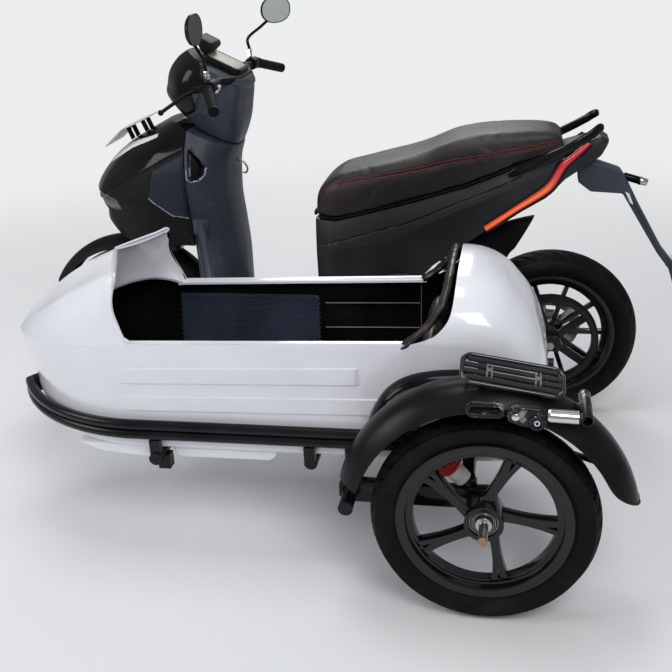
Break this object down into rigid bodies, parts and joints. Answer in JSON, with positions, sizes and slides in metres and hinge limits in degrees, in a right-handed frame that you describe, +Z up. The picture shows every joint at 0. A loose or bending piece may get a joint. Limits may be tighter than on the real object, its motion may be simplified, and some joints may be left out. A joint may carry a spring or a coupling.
{
  "type": "sidecar motorcycle",
  "caption": "Electric scooter with a white boat-shaped sidecar on its left, black fender, step plate and red-stitched seat.",
  "frame": {"origin": "on the floor below the middle of the whole vehicle's footprint", "axes": "+X forward, +Y towards the sidecar, which is on the left, +Z up"},
  "size_m": [1.9996, 1.538, 1.254],
  "materials": {
    "black_frame": "satin",
    "white_gloss": "gloss",
    "black_gloss": "gloss",
    "grey_blue": "satin",
    "matte_black": "matte",
    "light_white": "gloss",
    "light_red": "gloss",
    "plate": "satin",
    "alu": "satin",
    "chrome": "polished",
    "steel": "worn",
    "tyre": "matte",
    "rubber": "matte",
    "leather": "satin",
    "glass": "gloss",
    "spring_red": "gloss",
    "mesh_blue": "matte"
  },
  "bodies": {
    "chassis": {"scooter_frame": "black_frame", "battery_block": "matte_black", "motor_block": "matte_black", "head_tube": "black_frame", "footboard": "matte_black", "leg_shield": "grey_blue", "front_apron": "black_gloss", "front_lamps": "light_white", "number_plates": "plate", "plate_standoffs": "matte_black", "tail_body": "matte_black", "tail_lights": "light_red", "grab_rails": "black_gloss", "plate_holder": "matte_black", "rear_hugger": "matte_black", "rear_swing_arm": "black_frame", "rear_shocks": "spring_red", "rear_axle": "steel", "drive_belt": "rubber", "sidecar_hull": "white_gloss", "side_rail": "black_frame", "cross_tubes": "black_frame", "upper_struts": "black_frame", "pivot_tube": "black_frame", "belly_pans": "white_gloss", "cockpit_trim": "leather", "cockpit_seat": "leather", "backrest": "leather", "mesh_panel": "mesh_blue", "arch_moulding": "black_frame", "fender": "matte_black", "step_plate": "matte_black", "step_bracket": "chrome", "side_swing_arm": "black_frame", "side_spindle": "steel", "side_shock": "alu", "shock_mounts": "black_frame"},
    "steering": {"fork": "black_frame", "front_axle": "steel", "front_mudguard": "matte_black", "handlebar": "black_frame", "grips": "rubber", "bar_controls": "matte_black", "handlebar_cover": "black_gloss", "dash": "glass", "mirrors": "black_gloss"},
    "front_wheel": {"front_rim": "black_frame", "front_tyre": "tyre", "front_disc": "steel"},
    "rear_wheel": {"rear_rim": "black_frame", "rear_tyre": "tyre", "rear_disc": "steel", "rear_pulley": "steel"},
    "side_wheel": {"side_rim": "black_frame", "side_tyre": "tyre"},
    "seat": {"seat_base": "matte_black", "seat_cushion": "leather"},
    "stand": {"centre_stand": "black_frame"}
  },
  "joints": [
    {"name": "steer", "type": "hinge", "parent": "chassis", "child": "steering", "pos_m": [0.48309, -0.369, 0.69387], "axis": [-0.4384, 0, 0.8988], "range_deg": [-40, 40]},
    {"name": "front_spin", "type": "hinge", "parent": "steering", "child": "front_wheel", "pos_m": [0.73651, -0.369, 0.258], "axis": [0, 1, 0], "continuous": true},
    {"name": "rear_spin", "type": "hinge", "parent": "chassis", "child": "rear_wheel", "pos_m": [-0.59849, -0.369, 0.259], "axis": [0, 1, 0], "continuous": true},
    {"name": "side_spin", "type": "hinge", "parent": "chassis", "child": "side_wheel", "pos_m": [-0.43949, 0.671, 0.25], "axis": [0, 1, 0], "continuous": true},
    {"name": "seat_lift", "type": "hinge", "parent": "chassis", "child": "seat", "pos_m": [0.11351, -0.369, 0.64], "axis": [0, 1, 0], "range_deg": [0, 75]},
    {"name": "stand_swing", "type": "hinge", "parent": "chassis", "child": "stand", "pos_m": [-0.14849, -0.369, 0.185], "axis": [0, -1, 0], "range_deg": [0, 85]}
  ]
}
